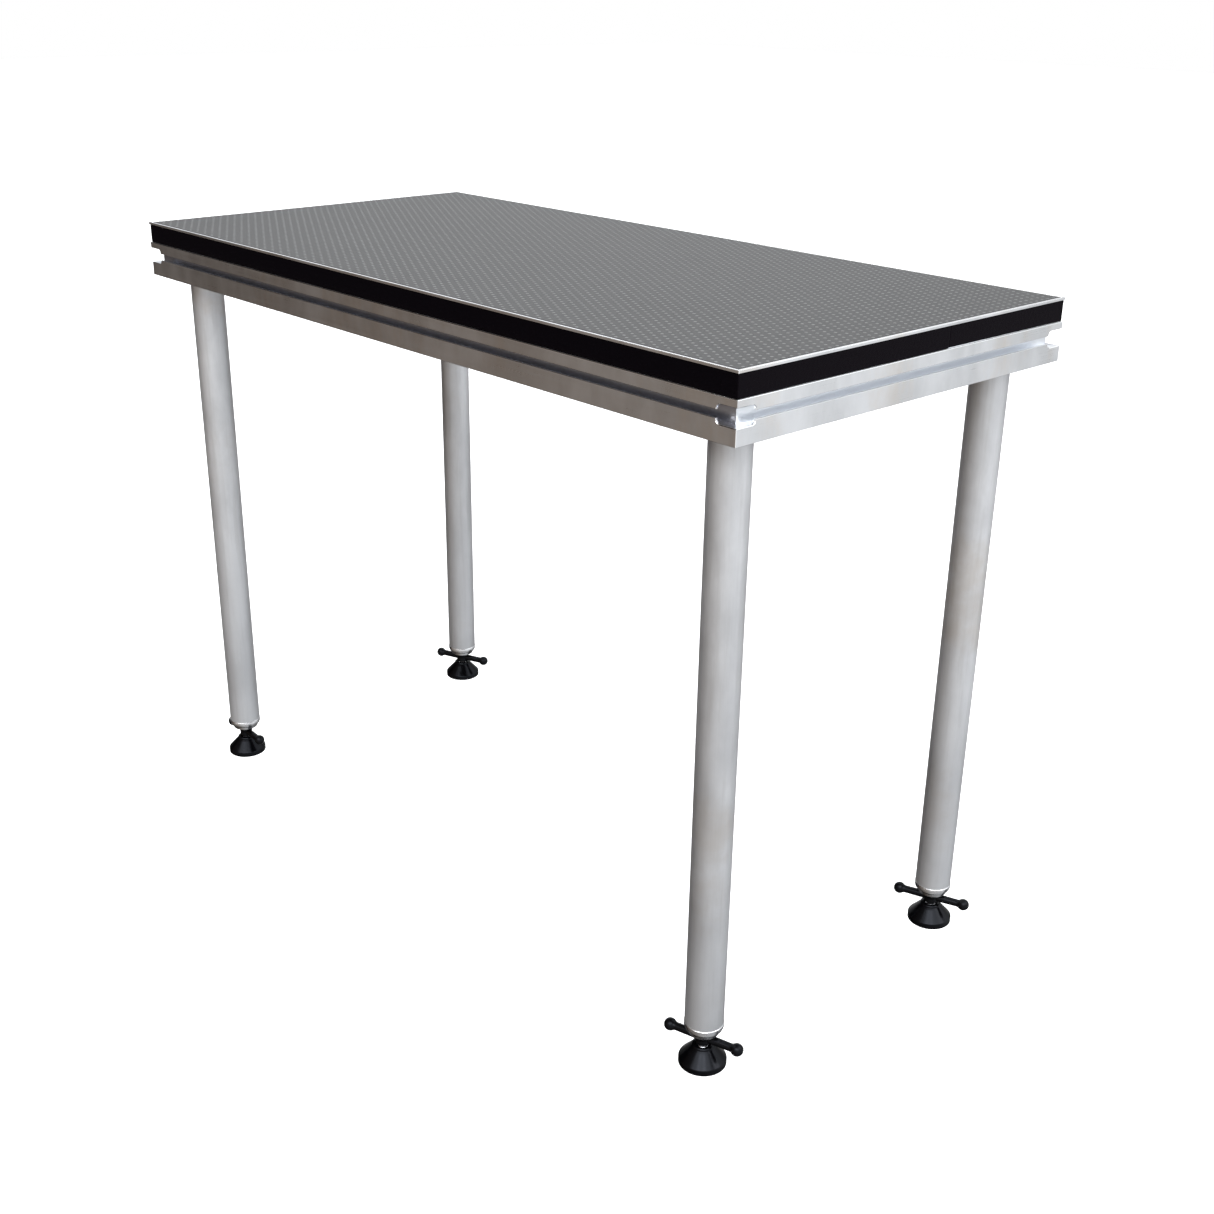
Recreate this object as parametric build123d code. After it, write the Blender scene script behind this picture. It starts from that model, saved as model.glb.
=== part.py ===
"""Stage riser platform: a framed deck on four plug-in tube legs with screw-adjusted feet.

Millimetres, +Z up. The origin is on the floor under the centre of the deck.
X runs along the deck's long sides, Y along its short sides. "front" is -Y, "left" is -X.
"""

import os

from build123d import *

# ---------------------------------------------------------------- driving dimensions
DECK_LENGTH = 1500.0
DECK_WIDTH = 720.0
DECK_HEIGHT = 1108.0  # top of the deck above the floor
CORNER_RADIUS = 1.2  # outer vertical edges of the frame
GAP = 0.02  # between parts that touch
RUNNING = 0.05  # radial clearance of turning and sliding parts
OVERSHOOT = 1.0  # how far a cutting tool runs past the face it opens
SCREW_POINT_ROOM = 0.5  # a blind hole is this much deeper than its screw

# Frame rail: an aluminium extrusion. Depths run inwards from its outer face,
# drops run down from the deck's top.
RAIL_DROP = 97.0
RAIL_DEPTH = 34.0
RAIL_WALL = 3.0
LIP_WIDTH = 4.0
LIP_DROP = 4.2
RECESS_DEPTH = 3.0  # band for the loop tape
RECESS_WALL = 2.0
RECESS_DROP = 36.7
SLOT_TOP = 54.7  # mouth of the T-slot
SLOT_BOTTOM = 66.4
CAVITY_TOP = 47.3  # the wider space behind the T-slot's mouth
CAVITY_BOTTOM = 73.2
CAVITY_DEPTH = 16.0
EDGE_RADIUS = 0.5
LEDGE_RADIUS = 1.2  # outer edge of the ledge below the tape
NOTCH_LENGTH = 35.0  # the T-slot's lips are milled away this far from each corner
NOTCH_RADIUS = 6.5
NOTCH_CHAMFER = 0.8
MITRE_GAP = 0.01
SMALL_CHAMFER = 1.0  # on turned and moulded edges

# Deck board, its seal and the loop tape
BOARD_THICKNESS = 18.0
BOARD_INSET = 6.2
BOARD_SCREW_RADIUS = 2.5
BOARD_SCREW_HEAD = (4.6, 2.2)  # radius and height of its countersunk head
BOARD_SCREW_TIP = DECK_HEIGHT - 6.0
BOARD_SCREW_SPREAD = 15.0  # from a leg's axis, both ways
BRACE_SCREW_SPREAD = 210.0  # from a brace's middle
SEAL_DROP = 0.4
SEAL_HEIGHT = 5.0
TAPE_THICKNESS = 1.5
TAPE_MARGIN = 0.2
TAPE_JOINT_Y = 72.0  # where the tape's two ends meet on the right side
TAPE_JOINT_GAP = 0.6

# Corner cleats inside the rails' lowest chamber
CLEAT_CLEARANCE = 0.2
CLEAT_ARM = 85.0
CLEAT_SCREW_AT = (62.0, 17.0)
CLEAT_SCREW_RADIUS = 3.0
CLEAT_SCREW_LENGTH = 15.0
CLEAT_SCREW_HEAD = (5.8, 2.8)

# Legs: where their axes stand, measured inwards from the frame's outer faces
LEG_INSET_X = 72.0
LEG_INSET_Y = 70.0
TUBE_RADIUS = 30.15
TUBE_WALL = 3.0
TUBE_BOTTOM = 78.0

# Leg sockets: castings in the corners of the frame
SOCKET_BORE = 30.25
SOCKET_RADIUS = 35.9
SOCKET_PLATE = 8.0
SOCKET_PLATE_REACH = 118.0
SOCKET_DROP = 94.0
SOCKET_CEILING_DROP = 30.0
SOCKET_BOLT_AT = 109.0
SOCKET_BOLT_DROPS = (36.0, 84.0)
SOCKET_BOLT_RADIUS = 4.0
SOCKET_BOLT_LENGTH = 15.0
SOCKET_BOLT_HEAD = (7.0, 5.0)  # radius over its corners and height

# Clamp that holds a leg in its socket. Reaches run from the leg's axis.
CLAMP_DROP = 62.0
CLAMP_PAD_RADIUS = 8.0
CLAMP_PAD_REACH = 41.0
CLAMP_PAD_HOLLOW = 2.0  # depth that its end is hollowed to fit the tube
CLAMP_SEAT_REACH = 44.0
CLAMP_BOSS_RADIUS = 14.0
CLAMP_BOSS_REACH = 58.0
CLAMP_SCREW_RADIUS = 6.0
KNOB_START = 61.0
KNOB_THICKNESS = 17.0
KNOB_CORE = 15.0
KNOB_LOBE = 6.5
KNOB_LOBES = 5
KNOB_CHAMFER = 1.5
KNOB_SOCKET = 2.0  # how far the screw runs into the knob

# Foot, bottom to top: heights above the floor
PAD_RADIUS = 34.0
PAD_HEIGHT = 4.0
PAD_CHAMFER = 0.6
BASE_BOTTOM = 1.0
BASE_RADIUS = 37.5
BASE_CHAMFER = 0.8  # around the bottom edge
BASE_RIM_TOP = 9.0
BASE_RIM_BEND = (37.25, 10.8)  # a point on the rounding between the rim and the shoulder
BASE_SHOULDER = (36.4, 12.0)  # radius and height where the rim turns into the cone
BASE_CONE_TOP = (20.4, 29.3)
BASE_COLLAR = (17.8, 31.8)
BASE_COLLAR_BEND = (17.2, 34.6)
BASE_TOP_RADIUS = 15.0
BASE_TOP = 36.0
BASE_MOUTH = 12.6
RIVET_ROOM = (1.5, 4.0)  # around the spindle's riveted head, and above the pad
BALL_RADIUS = 12.0
BALL_CENTRE = 23.5
BALL_FLAT = 9.0  # flats of the ball above and below its centre
BALL_SNAP = 5.0  # the socket closes over the ball up to here above its centre
JOURNAL_RADIUS = 5.0
JOURNAL_HEAD = (7.0, 3.0)  # radius and height of the riveted head under the ball
SHANK_RADIUS = 7.5
THREAD_RADIUS = 8.0
THREAD_START = 1.5  # above the handle's hub
THREAD_CHAMFER = 2.0
SPINDLE_TOP = 178.0

# Handle that turns the spindle
HUB_BOTTOM = 38.3
HUB_TOP = 56.0
HUB_RADIUS = 12.4
HUB_COLLAR = (14.0, 3.0)  # radius and height of the thicker ring at the hub's top
ARM_HEIGHT = 46.5
ARM_RADIUS = 6.9  # at the hub
ARM_TIP_RADIUS = 6.5
NECK_RADIUS = 7.6  # where an arm runs into its ball
ARM_BALL_AT = 57.5
ARM_BALL_RADIUS = 10.2
NECK_LENGTH = 4.2  # over which an arm swells into its ball
NECK_BEND = (0.35, 1.8)  # a point on the swelling: rise over the arm, distance from the ball

# Turned end cap of the leg tube, and the nut pressed into it
CAP_BOTTOM = 59.0
CAP_RADIUS = 30.9
CAP_TOP = 112.0
CAP_SHOULDER_HEIGHT = 4.0  # of the straight band under the tube
CAP_RING_HEIGHT = 6.8  # of the lower ring
CAP_RING_RADIUS = 26.7
CAP_RING_BEVEL = (23.3, 0.4)  # where the bevel starts, and its rise at both ends
CAP_STEP = 0.9  # ledge between the ring and the rounded shoulder
CAP_BULGE = (29.9, 3.4)  # a point on the shoulder's arc: radius, height above the ring
CAP_CHAMFER = 0.5
NUT_FLANGE = (17.0, 4.0)  # radius and thickness
NUT_RADIUS = 14.0

# Cross braces under the board
BRACE_X = 250.0
BRACE_WIDTH = 30.0
BRACE_DEPTH = 40.0
BRACE_WALL = 2.5
BRACKET_WIDTH = 56.0
BRACKET_LEG = 36.0
BRACKET_THICKNESS = 4.0
BRACKET_BOLT_DROP = 84.0
BRACKET_BOLT_OFFSET = 18.0
BRACKET_SHELF_BOLT_AT = 24.0
BRACE_BOLT_RADIUS = 3.0
BRACE_BOLT_LENGTH = 11.0
BRACE_BOLT_HEAD = (5.5, 4.0)
DRIVER_HOLE_RADIUS = 6.0

# Each corner: the sides of the deck it belongs to, and the angle its handle rests at
CORNERS = {
    "front_left": (-1, -1, -2.0),
    "front_right": (1, -1, 16.0),
    "back_left": (-1, 1, 22.0),
    "back_right": (1, 1, 20.0),
}

BOARD_UNDERSIDE = DECK_HEIGHT - BOARD_THICKNESS
BRACE_UNDERSIDE = BOARD_UNDERSIDE - GAP - BRACE_DEPTH
SOCKET_CEILING = DECK_HEIGHT - SOCKET_CEILING_DROP
INNER_WALL = RAIL_DEPTH - RAIL_WALL


# ---------------------------------------------------------------- helpers
def save(shape, node):
    export_step(shape, f"parts/{node}.step")


def block(x0, x1, y0, y1, z0, z1):
    """A box between two corners."""
    size = Box(x1 - x0, y1 - y0, z1 - z0)
    return Pos((x0 + x1) / 2, (y0 + y1) / 2, (z0 + z1) / 2) * size


def rod(radius, z0, z1, x=0.0, y=0.0):
    """An upright cylinder."""
    return Pos(x, y, (z0 + z1) / 2) * Cylinder(radius, z1 - z0)


def rod_x(radius, x0, x1, y, z):
    """A cylinder along X."""
    return Pos((x0 + x1) / 2, y, z) * Rot(0, 90, 0) * Cylinder(radius, x1 - x0)


def rod_y(radius, y0, y1, x, z):
    """A cylinder along Y."""
    return Pos(x, (y0 + y1) / 2, z) * Rot(90, 0, 0) * Cylinder(radius, y1 - y0)


def spun(*edges):
    """A solid of revolution about Z, from edges in the XZ plane."""
    return revolve(make_face([e for edge in edges for e in edge.edges()]), Axis.Z)


def path(*points):
    """Straight edges through (radius, height) points in the XZ plane."""
    return Polyline(*[(r, 0, z) for r, z in points])


def arc(start, middle, end):
    """An arc through three (radius, height) points in the XZ plane."""
    return ThreePointArc(*[(r, 0, z) for r, z in (start, middle, end)])


def bolt(length, radius, head_radius, head_height):
    """A hexagon bolt along -Z, with its head standing on the plane z = 0."""
    head = extrude(RegularPolygon(head_radius, 6), head_height)
    return head + rod(radius, -length, 0)


def countersunk(length, radius, head_radius, head_height):
    """A countersunk screw along +Z, with its flat head on the plane z = 0."""
    head = Pos(0, 0, head_height / 2) * Cone(head_radius, radius, head_height)
    return head + rod(radius, 0, length)


def to_corner(shape, sx, sy):
    """Move a shape built at the front left corner to another corner, mirrored as needed."""
    if sx > 0:
        shape = mirror(shape, about=Plane.YZ)
    if sy > 0:
        shape = mirror(shape, about=Plane.XZ)
    return shape


def leg_axis(sx, sy):
    """Where a leg stands."""
    return sx * (DECK_LENGTH / 2 - LEG_INSET_X), sy * (DECK_WIDTH / 2 - LEG_INSET_Y)


def inset(x, y):
    """A point given inwards from the outer faces at the front left corner."""
    return x - DECK_LENGTH / 2, y - DECK_WIDTH / 2


# ---------------------------------------------------------------- frame
def rail_section():
    """Cross-section of a rail: depth inwards along Y, height along Z."""

    def outline(points):
        drops = [(0, depth, DECK_HEIGHT - drop) for depth, drop in points]
        return make_face(Polyline(*drops, close=True).edges())

    recess_back = RECESS_DEPTH + RECESS_WALL
    solid = outline(
        [
            (0, 0),
            (LIP_WIDTH, 0),
            (recess_back, recess_back - LIP_WIDTH),
            (recess_back, BOARD_THICKNESS),
            (RAIL_DEPTH, BOARD_THICKNESS),
            (RAIL_DEPTH, RAIL_DROP),
            (0, RAIL_DROP),
            (0, SLOT_BOTTOM),
            (RAIL_WALL, SLOT_BOTTOM),
            (RAIL_WALL, CAVITY_BOTTOM),
            (CAVITY_DEPTH, CAVITY_BOTTOM),
            (CAVITY_DEPTH, CAVITY_TOP),
            (RAIL_WALL, CAVITY_TOP),
            (RAIL_WALL, SLOT_TOP),
            (0, SLOT_TOP),
            (0, RECESS_DROP),
            (RECESS_DEPTH, RECESS_DROP),
            (RECESS_DEPTH, LIP_DROP),
            (0, LIP_DROP),
        ]
    )
    ledge = DECK_HEIGHT - RECESS_DROP
    outer = [v for v in solid.vertices() if abs(v.Y) < 1e-6 and abs(v.Z - ledge) > 1e-6]
    solid = fillet(outer, EDGE_RADIUS)
    solid = fillet([v for v in solid.vertices() if abs(v.Y) < 1e-6 and abs(v.Z - ledge) < 1e-6], LEDGE_RADIUS)
    upper_chamber = outline(
        [
            (recess_back, BOARD_THICKNESS + RAIL_WALL),
            (INNER_WALL, BOARD_THICKNESS + RAIL_WALL),
            (INNER_WALL, CAVITY_TOP - RAIL_WALL),
            (RAIL_WALL, CAVITY_TOP - RAIL_WALL),
            (RAIL_WALL, RECESS_DROP + RAIL_WALL),
            (recess_back, RECESS_DROP + RAIL_WALL),
        ]
    )
    behind_slot = outline(
        [
            (CAVITY_DEPTH + RAIL_WALL, CAVITY_TOP),
            (INNER_WALL, CAVITY_TOP),
            (INNER_WALL, CAVITY_BOTTOM),
            (CAVITY_DEPTH + RAIL_WALL, CAVITY_BOTTOM),
        ]
    )
    lower_chamber = outline(
        [
            (RAIL_WALL, CAVITY_BOTTOM + RAIL_WALL),
            (INNER_WALL, CAVITY_BOTTOM + RAIL_WALL),
            (INNER_WALL, RAIL_DROP - RAIL_WALL),
            (RAIL_WALL, RAIL_DROP - RAIL_WALL),
        ]
    )
    return solid - upper_chamber - behind_slot - lower_chamber


def mitred(length, shape):
    """Keep what lies between the two 45 degree mitres, with the outer face on y = 0."""
    half = length / 2 - MITRE_GAP
    plan = Polyline(
        (-half, 0), (half, 0), (half - RAIL_DEPTH, RAIL_DEPTH), (-half + RAIL_DEPTH, RAIL_DEPTH), close=True
    )
    return shape & Pos(0, 0, DECK_HEIGHT - RAIL_DROP) * extrude(make_face(plan.edges()), RAIL_DROP)


def corner_notch(x):
    """The milled pocket through the T-slot's lips at a corner."""
    height = CAVITY_BOTTOM - CAVITY_TOP
    face = RectangleRounded(2 * NOTCH_LENGTH, height, NOTCH_RADIUS)
    middle = DECK_HEIGHT - (CAVITY_TOP + CAVITY_BOTTOM) / 2
    rim = Pos(0, 0, -NOTCH_CHAMFER) * extrude(face, NOTCH_CHAMFER + OVERSHOOT, taper=-45)
    tool = extrude(face, RAIL_WALL, both=True) + rim
    return Pos(x, 0, middle) * Rot(90, 0, 0) * tool


def rail(length):
    """A rail along X with its outer face on y = 0 and its inside towards +Y."""
    shape = extrude(rail_section(), length / 2, both=True)
    shape = mitred(length, shape)
    return shape - corner_notch(-length / 2) - corner_notch(length / 2)


def round_corners(shape):
    """Round the frame's four outer vertical edges."""
    height = 2 * DECK_HEIGHT
    return shape & extrude(RectangleRounded(DECK_LENGTH, DECK_WIDTH, CORNER_RADIUS), height)


def ring(outer_inset, inner_inset, top_drop, bottom_drop, corner=0.0):
    """A rectangular ring around the deck between two insets and two drops."""
    length = DECK_LENGTH - 2 * outer_inset
    width = DECK_WIDTH - 2 * outer_inset
    outside = RectangleRounded(length, width, corner) if corner else Rectangle(length, width)
    inside = Rectangle(DECK_LENGTH - 2 * inner_inset, DECK_WIDTH - 2 * inner_inset)
    plan = outside - inside
    return Pos(0, 0, DECK_HEIGHT - bottom_drop) * extrude(plan, bottom_drop - top_drop)


def loop_tape():
    """Loop tape laid once around the frame, its ends butting on the right side."""
    outer_inset = RECESS_DEPTH - GAP - TAPE_THICKNESS
    tape = ring(
        outer_inset,
        RECESS_DEPTH - GAP,
        LIP_DROP + TAPE_MARGIN,
        RECESS_DROP - TAPE_MARGIN,
        corner=TAPE_THICKNESS,
    )
    low = TAPE_JOINT_Y - TAPE_JOINT_GAP / 2
    joint = block(0, DECK_LENGTH, low, low + TAPE_JOINT_GAP, 0, DECK_HEIGHT)
    return tape - joint


def board_screw_places():
    """Where the board is screwed down from below: (x, y, height of the head, countersunk)."""
    spread = (-BOARD_SCREW_SPREAD, BOARD_SCREW_SPREAD)
    places = []
    for sx, sy, _ in CORNERS.values():
        x, y = leg_axis(sx, sy)
        places += [(x + dx, y + dy, SOCKET_CEILING) for dx in spread for dy in spread]
    for x in (-BRACE_X, BRACE_X):
        places += brace_screw_places(x)
    return places


def brace_screw_places(x):
    """The three board screws in one brace."""
    level = BOARD_UNDERSIDE - BRACE_WALL - GAP
    return [(x, y, level) for y in (-BRACE_SCREW_SPREAD, 0, BRACE_SCREW_SPREAD)]


def board_screws():
    screws = []
    for x, y, head in board_screw_places():
        screw = countersunk(BOARD_SCREW_TIP - head, BOARD_SCREW_RADIUS, *BOARD_SCREW_HEAD)
        screws.append(Pos(x, y, head) * screw)
    return Compound(children=screws)


def board_screw_holes(places):
    """Clearance for the board's screws and their countersunk heads."""
    radius = BOARD_SCREW_RADIUS + GAP
    head_radius, head_height = BOARD_SCREW_HEAD
    tip = BOARD_SCREW_TIP + SCREW_POINT_ROOM
    holes = []
    for x, y, head in places:
        holes.append(rod(radius, head - OVERSHOOT, tip, x, y))
        holes.append(Pos(x, y, head + head_height / 2 - GAP) * Cone(head_radius + GAP, radius, head_height))
    return holes


def deck_board():
    board = block(
        -DECK_LENGTH / 2 + BOARD_INSET,
        DECK_LENGTH / 2 - BOARD_INSET,
        -DECK_WIDTH / 2 + BOARD_INSET,
        DECK_WIDTH / 2 - BOARD_INSET,
        BOARD_UNDERSIDE,
        DECK_HEIGHT,
    )
    radius = BOARD_SCREW_RADIUS + GAP
    low, high = BOARD_UNDERSIDE - OVERSHOOT, BOARD_SCREW_TIP + SCREW_POINT_ROOM
    return board - [rod(radius, low, high, x, y) for x, y, _ in board_screw_places()]


def corner_cleat():
    """An L-shaped key in the lowest chamber of two rails, at the front left corner."""
    near = RAIL_WALL + CLEAT_CLEARANCE
    far = INNER_WALL - CLEAT_CLEARANCE
    low = DECK_HEIGHT - RAIL_DROP + RAIL_WALL + CLEAT_CLEARANCE
    high = DECK_HEIGHT - CAVITY_BOTTOM - RAIL_WALL - CLEAT_CLEARANCE
    x0, y0 = inset(near, near)
    x1, y1 = inset(far, far)
    x2, y2 = inset(CLEAT_ARM, CLEAT_ARM)
    return block(x0, x2, y0, y1, low, high) + block(x0, x1, y0, y2, low, high)


def cleat_screw_places():
    long_way, across = CLEAT_SCREW_AT
    return [inset(long_way, across), inset(across, long_way)]


def cleat_screws():
    """The countersunk screws that hold one cleat, at the front left corner."""
    bottom = DECK_HEIGHT - RAIL_DROP
    return [
        Pos(x, y, bottom) * countersunk(CLEAT_SCREW_LENGTH, CLEAT_SCREW_RADIUS, *CLEAT_SCREW_HEAD)
        for x, y in cleat_screw_places()
    ]


def cleat_holes():
    bottom = DECK_HEIGHT - RAIL_DROP
    radius, depth = CLEAT_SCREW_HEAD
    holes = []
    tip = bottom + CLEAT_SCREW_LENGTH + SCREW_POINT_ROOM
    for x, y in cleat_screw_places():
        holes.append(rod(CLEAT_SCREW_RADIUS + GAP, bottom - OVERSHOOT, tip, x, y))
        cone = Cone(radius + GAP, CLEAT_SCREW_RADIUS + GAP, depth)
        holes.append(Pos(x, y, bottom + depth / 2 - GAP) * cone)
    return holes


# ---------------------------------------------------------------- leg sockets and clamps
def socket_bolt_places():
    """The four bolts of the front left socket: (x, y, z, along) with the head's seat at x, y."""
    seat = RAIL_DEPTH + GAP + SOCKET_PLATE
    places = []
    for drop in SOCKET_BOLT_DROPS:
        z = DECK_HEIGHT - drop
        places.append((*inset(seat, SOCKET_BOLT_AT), z, "x"))
        places.append((*inset(SOCKET_BOLT_AT, seat), z, "y"))
    return places


def socket_bolts():
    bolts = []
    for x, y, z, along in socket_bolt_places():
        turn = Rot(0, 90, 0) if along == "x" else Rot(-90, 0, 0)
        shape = bolt(SOCKET_BOLT_LENGTH, SOCKET_BOLT_RADIUS, *SOCKET_BOLT_HEAD)
        bolts.append(Pos(x, y, z) * turn * shape)
    return bolts


def socket_bolt_holes():
    holes = []
    radius = SOCKET_BOLT_RADIUS + GAP
    reach = SOCKET_BOLT_LENGTH + SCREW_POINT_ROOM
    for x, y, z, along in socket_bolt_places():
        if along == "x":
            holes.append(rod_x(radius, x - reach, x + OVERSHOOT, y, z))
        else:
            holes.append(rod_y(radius, y - reach, y + OVERSHOOT, x, z))
    return holes


def leg_socket():
    """The casting in the front left corner: a blind sleeve, two plates and the clamp's boss."""
    low = DECK_HEIGHT - SOCKET_DROP
    high = BOARD_UNDERSIDE - GAP
    near = RAIL_DEPTH + GAP
    x, y = inset(LEG_INSET_X, LEG_INSET_Y)
    x0, y0 = inset(near, near)
    x1, y1 = inset(near + SOCKET_PLATE, near + SOCKET_PLATE)
    x2, y2 = inset(SOCKET_PLATE_REACH, SOCKET_PLATE_REACH)
    clamp_z = DECK_HEIGHT - CLAMP_DROP
    casting = rod(SOCKET_RADIUS, low, high, x, y)
    casting += block(x0, x, y0, y, low, high)
    casting += block(x0, x1, y0, y2, low, high)
    casting += block(x0, x2, y0, y1, low, high)
    casting += rod_x(CLAMP_BOSS_RADIUS, x + SOCKET_BORE, x + CLAMP_BOSS_REACH, y, clamp_z)
    casting -= rod(SOCKET_BORE, low - OVERSHOOT, SOCKET_CEILING, x, y)
    casting -= rod_x(CLAMP_PAD_RADIUS + RUNNING, x, x + CLAMP_SEAT_REACH, y, clamp_z)
    casting -= rod_x(CLAMP_SCREW_RADIUS + RUNNING, x, x + CLAMP_BOSS_REACH + OVERSHOOT, y, clamp_z)
    mine = [place for place in board_screw_places() if place[0] < x2 and place[1] < y2]
    return casting - socket_bolt_holes() - board_screw_holes(mine)


def clamp_pad():
    """Pressure piece at the front left corner, hollowed to the tube."""
    x, y = inset(LEG_INSET_X, LEG_INSET_Y)
    z = DECK_HEIGHT - CLAMP_DROP
    pad = rod_x(CLAMP_PAD_RADIUS, x + TUBE_RADIUS - CLAMP_PAD_HOLLOW, x + CLAMP_PAD_REACH, y, z)
    room = CLAMP_PAD_RADIUS + OVERSHOOT
    return pad - rod(TUBE_RADIUS + GAP, z - room, z + room, x, y)


def clamp_screw():
    """Clamp screw with its star knob, at the front left corner."""
    x, y = inset(LEG_INSET_X, LEG_INSET_Y)
    z = DECK_HEIGHT - CLAMP_DROP
    plan = Circle(KNOB_CORE)
    for turn in range(KNOB_LOBES):
        plan += Rot(0, 0, turn * 360 / KNOB_LOBES) * Pos(KNOB_CORE, 0) * Circle(KNOB_LOBE)
    knob = extrude(plan, KNOB_THICKNESS)
    ends = knob.edges().group_by(Axis.Z)
    knob = chamfer(ends[0] + ends[-1], KNOB_CHAMFER)
    screw = rod_x(CLAMP_SCREW_RADIUS, x + CLAMP_PAD_REACH + GAP, x + KNOB_START + KNOB_SOCKET, y, z)
    return screw + Pos(x + KNOB_START, y, z) * Rot(0, 90, 0) * knob


# ---------------------------------------------------------------- cross braces
def brace_shell(x):
    """A box-section brace between the long rails."""
    half = DECK_WIDTH / 2 - RAIL_DEPTH - GAP
    high = BOARD_UNDERSIDE - GAP
    outer = block(x - BRACE_WIDTH / 2, x + BRACE_WIDTH / 2, -half, half, high - BRACE_DEPTH, high)
    inner = block(
        x - BRACE_WIDTH / 2 + BRACE_WALL,
        x + BRACE_WIDTH / 2 - BRACE_WALL,
        -half - OVERSHOOT,
        half + OVERSHOOT,
        high - BRACE_DEPTH + BRACE_WALL,
        high - BRACE_WALL,
    )
    return outer - inner


def brace_bolt_places(x):
    """The bolts of the bracket at a brace's front end: (x, y, z, way) of the head's seat."""
    wall = -DECK_WIDTH / 2 + RAIL_DEPTH + GAP
    seat = wall + BRACKET_THICKNESS
    level = BRACE_UNDERSIDE - GAP - BRACKET_THICKNESS
    z = DECK_HEIGHT - BRACKET_BOLT_DROP
    return [
        (x - BRACKET_BOLT_OFFSET, seat, z, "y"),
        (x + BRACKET_BOLT_OFFSET, seat, z, "y"),
        (x, wall + BRACKET_SHELF_BOLT_AT, level, "up"),
    ]


def brace_bolts(x):
    bolts = []
    for px, py, pz, way in brace_bolt_places(x):
        turn = Rot(-90, 0, 0) if way == "y" else Rot(180, 0, 0)
        shape = bolt(BRACE_BOLT_LENGTH, BRACE_BOLT_RADIUS, *BRACE_BOLT_HEAD)
        bolts.append(Pos(px, py, pz) * turn * shape)
    return bolts


def brace_bolt_holes(x):
    holes = []
    radius = BRACE_BOLT_RADIUS + GAP
    reach = BRACE_BOLT_LENGTH + SCREW_POINT_ROOM
    for px, py, pz, way in brace_bolt_places(x):
        if way == "y":
            holes.append(rod_y(radius, py - reach, py + OVERSHOOT, px, pz))
        else:
            holes.append(rod(radius, pz - OVERSHOOT, pz + reach, px, py))
    return holes


def brace_bracket(x):
    """The angle under a brace's front end, bolted to the rail and to the brace."""
    wall = -DECK_WIDTH / 2 + RAIL_DEPTH + GAP
    level = BRACE_UNDERSIDE - GAP
    half = BRACKET_WIDTH / 2
    low = level - BRACKET_LEG
    upright = block(x - half, x + half, wall, wall + BRACKET_THICKNESS, low, level)
    shelf = block(x - half, x + half, wall, wall + BRACKET_LEG, level - BRACKET_THICKNESS, level)
    return upright + shelf


def both_ends(shapes):
    """The same shapes at the back end too."""
    return shapes + [mirror(s, about=Plane.XZ) for s in shapes]


# ---------------------------------------------------------------- legs and feet, on the Z axis
def leg_tube():
    top = SOCKET_CEILING - RUNNING
    inside = rod(TUBE_RADIUS - TUBE_WALL, TUBE_BOTTOM - OVERSHOOT, top + OVERSHOOT)
    return rod(TUBE_RADIUS, TUBE_BOTTOM, top) - inside


def end_cap():
    """Turned plug in the tube's end, with a rounded shoulder and a bevelled lower ring."""
    flange, thickness = NUT_FLANGE
    bevel_start, bevel_rise = CAP_RING_BEVEL
    bulge_radius, bulge_height = CAP_BULGE
    shoulder = TUBE_BOTTOM - CAP_SHOULDER_HEIGHT
    ring_top = CAP_BOTTOM + CAP_RING_HEIGHT
    spigot = TUBE_RADIUS - TUBE_WALL - GAP
    bore = NUT_RADIUS + GAP
    seat = CAP_BOTTOM + thickness + GAP
    lower_ring = path(
        (flange + GAP, seat),
        (flange + GAP, CAP_BOTTOM),
        (bevel_start, CAP_BOTTOM),
        (bevel_start + 2 * bevel_rise, CAP_BOTTOM + bevel_rise),
        (CAP_RING_RADIUS, ring_top - bevel_rise),
        (CAP_RING_RADIUS, ring_top),
        (CAP_RING_RADIUS + CAP_STEP, ring_top),
    )
    bulge = arc(
        (CAP_RING_RADIUS + CAP_STEP, ring_top),
        (bulge_radius, ring_top + bulge_height),
        (CAP_RADIUS, shoulder),
    )
    plug = path(
        (CAP_RADIUS, shoulder),
        (CAP_RADIUS, TUBE_BOTTOM - CAP_CHAMFER - GAP),
        (CAP_RADIUS - CAP_CHAMFER, TUBE_BOTTOM - GAP),
        (spigot, TUBE_BOTTOM - GAP),
        (spigot, CAP_TOP),
        (bore, CAP_TOP),
        (bore, seat),
        (flange + GAP, seat),
    )
    return spun(lower_ring, bulge, plug)


def spindle_nut():
    flange, thickness = NUT_FLANGE
    nut = rod(flange, CAP_BOTTOM, CAP_BOTTOM + thickness) + rod(NUT_RADIUS, CAP_BOTTOM, CAP_TOP)
    return nut - rod(THREAD_RADIUS + RUNNING, CAP_BOTTOM - OVERSHOOT, CAP_TOP + OVERSHOOT)


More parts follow.
